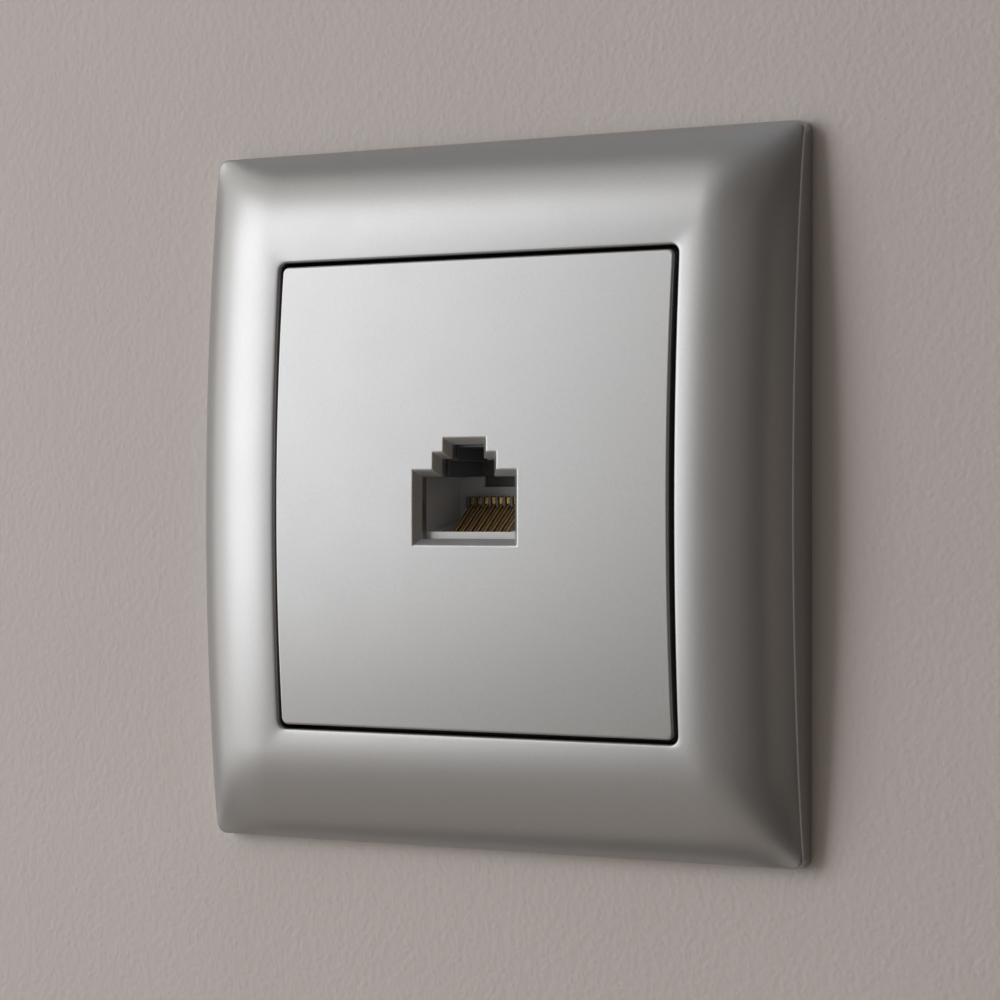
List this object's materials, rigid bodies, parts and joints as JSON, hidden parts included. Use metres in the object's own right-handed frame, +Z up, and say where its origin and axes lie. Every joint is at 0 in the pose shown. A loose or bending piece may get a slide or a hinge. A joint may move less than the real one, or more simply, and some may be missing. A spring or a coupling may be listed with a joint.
{
  "type": "ethernet wall socket",
  "caption": "Flush ethernet wall socket: bowed square frame and central plate with a stepped port, a modular jack behind it, and a steel support plate with swinging claws.",
  "frame": {"origin": "middle of the wall screw pattern, on the wall's surface", "axes": "+Y into the wall, +Z up, +X to the right as seen from the front"},
  "size_m": [0.082, 0.0305, 0.082],
  "materials": {
    "silver_lacquer": "satin silver lacquer on moulded plastic",
    "zinc_steel": "zinc-plated sheet steel",
    "plated_steel": "bright zinc-plated turned steel",
    "grey_plastic": "fine-textured moulded plastic",
    "charcoal_plastic": "matt moulded plastic",
    "pale_plastic": "matt moulded plastic",
    "gold_contact": "gold-plated bronze wire",
    "tinned_bronze": "tin-plated bronze sheet",
    "board_laminate": "green solder mask on laminate"
  },
  "bodies": {
    "socket": {"cover_frame": "silver_lacquer", "cover_plate": "silver_lacquer", "support_plate": "zinc_steel", "jack_carrier": "grey_plastic", "carrier_rivets": "plated_steel", "claw_pin_left": "plated_steel", "claw_pin_right": "plated_steel", "jack_housing": "charcoal_plastic", "contact_comb": "pale_plastic", "contact_leads": "tinned_bronze", "jack_pcb": "board_laminate", "terminal_block": "charcoal_plastic", "idc_blade_1": "tinned_bronze", "idc_blade_2": "tinned_bronze", "idc_blade_3": "tinned_bronze", "idc_blade_4": "tinned_bronze", "idc_blade_5": "tinned_bronze", "idc_blade_6": "tinned_bronze", "idc_blade_7": "tinned_bronze", "idc_blade_8": "tinned_bronze", "wire_cap_upper": "pale_plastic", "wire_cap_lower": "pale_plastic"},
    "claw_left": {"claw_left": "plated_steel"},
    "claw_right": {"claw_right": "plated_steel"},
    "claw_screw_left": {"claw_screw_left": "plated_steel"},
    "claw_screw_right": {"claw_screw_right": "plated_steel"},
    "contact_1": {"contact_spring_1": "gold_contact"},
    "contact_2": {"contact_spring_2": "gold_contact"},
    "contact_3": {"contact_spring_3": "gold_contact"},
    "contact_4": {"contact_spring_4": "gold_contact"},
    "contact_5": {"contact_spring_5": "gold_contact"},
    "contact_6": {"contact_spring_6": "gold_contact"},
    "contact_7": {"contact_spring_7": "gold_contact"},
    "contact_8": {"contact_spring_8": "gold_contact"}
  },
  "joints": [
    {"name": "claw_left_drive", "type": "slide", "parent": "socket", "child": "claw_screw_left", "axis": [0, 1, 0], "range_m": [0, 0.00195]},
    {"name": "claw_left_swing", "type": "hinge", "parent": "socket", "child": "claw_left", "pos_m": [-0.026, 0.0035, 0], "axis": [0, 0, 1], "range_deg": [0, 25]},
    {"name": "claw_right_drive", "type": "slide", "parent": "socket", "child": "claw_screw_right", "axis": [0, 1, 0], "range_m": [0, 0.00195]},
    {"name": "claw_right_swing", "type": "hinge", "parent": "socket", "child": "claw_right", "pos_m": [0.026, 0.0035, 0], "axis": [0, 0, -1], "range_deg": [0, 25]},
    {"name": "contact_1_flex", "type": "hinge", "parent": "socket", "child": "contact_1", "pos_m": [-0.00357, -0.00495, -0.00445], "axis": [-1, 0, 0], "range_deg": [0, 10], "stiffness_Nm_per_rad": 0.03},
    {"name": "contact_2_flex", "type": "hinge", "parent": "socket", "child": "contact_2", "pos_m": [-0.00255, -0.00495, -0.00445], "axis": [-1, 0, 0], "range_deg": [0, 10], "stiffness_Nm_per_rad": 0.03},
    {"name": "contact_3_flex", "type": "hinge", "parent": "socket", "child": "contact_3", "pos_m": [-0.00153, -0.00495, -0.00445], "axis": [-1, 0, 0], "range_deg": [0, 10], "stiffness_Nm_per_rad": 0.03},
    {"name": "contact_4_flex", "type": "hinge", "parent": "socket", "child": "contact_4", "pos_m": [-0.00051, -0.00495, -0.00445], "axis": [-1, 0, 0], "range_deg": [0, 10], "stiffness_Nm_per_rad": 0.03},
    {"name": "contact_5_flex", "type": "hinge", "parent": "socket", "child": "contact_5", "pos_m": [0.00051, -0.00495, -0.00445], "axis": [-1, 0, 0], "range_deg": [0, 10], "stiffness_Nm_per_rad": 0.03},
    {"name": "contact_6_flex", "type": "hinge", "parent": "socket", "child": "contact_6", "pos_m": [0.00153, -0.00495, -0.00445], "axis": [-1, 0, 0], "range_deg": [0, 10], "stiffness_Nm_per_rad": 0.03},
    {"name": "contact_7_flex", "type": "hinge", "parent": "socket", "child": "contact_7", "pos_m": [0.00255, -0.00495, -0.00445], "axis": [-1, 0, 0], "range_deg": [0, 10], "stiffness_Nm_per_rad": 0.03},
    {"name": "contact_8_flex", "type": "hinge", "parent": "socket", "child": "contact_8", "pos_m": [0.00357, -0.00495, -0.00445], "axis": [-1, 0, 0], "range_deg": [0, 10], "stiffness_Nm_per_rad": 0.03}
  ],
  "couplings": [
    {"joint": "claw_left_swing", "follows": "claw_left_drive", "rad_per_m": 222},
    {"joint": "claw_right_swing", "follows": "claw_right_drive", "rad_per_m": 222}
  ]
}
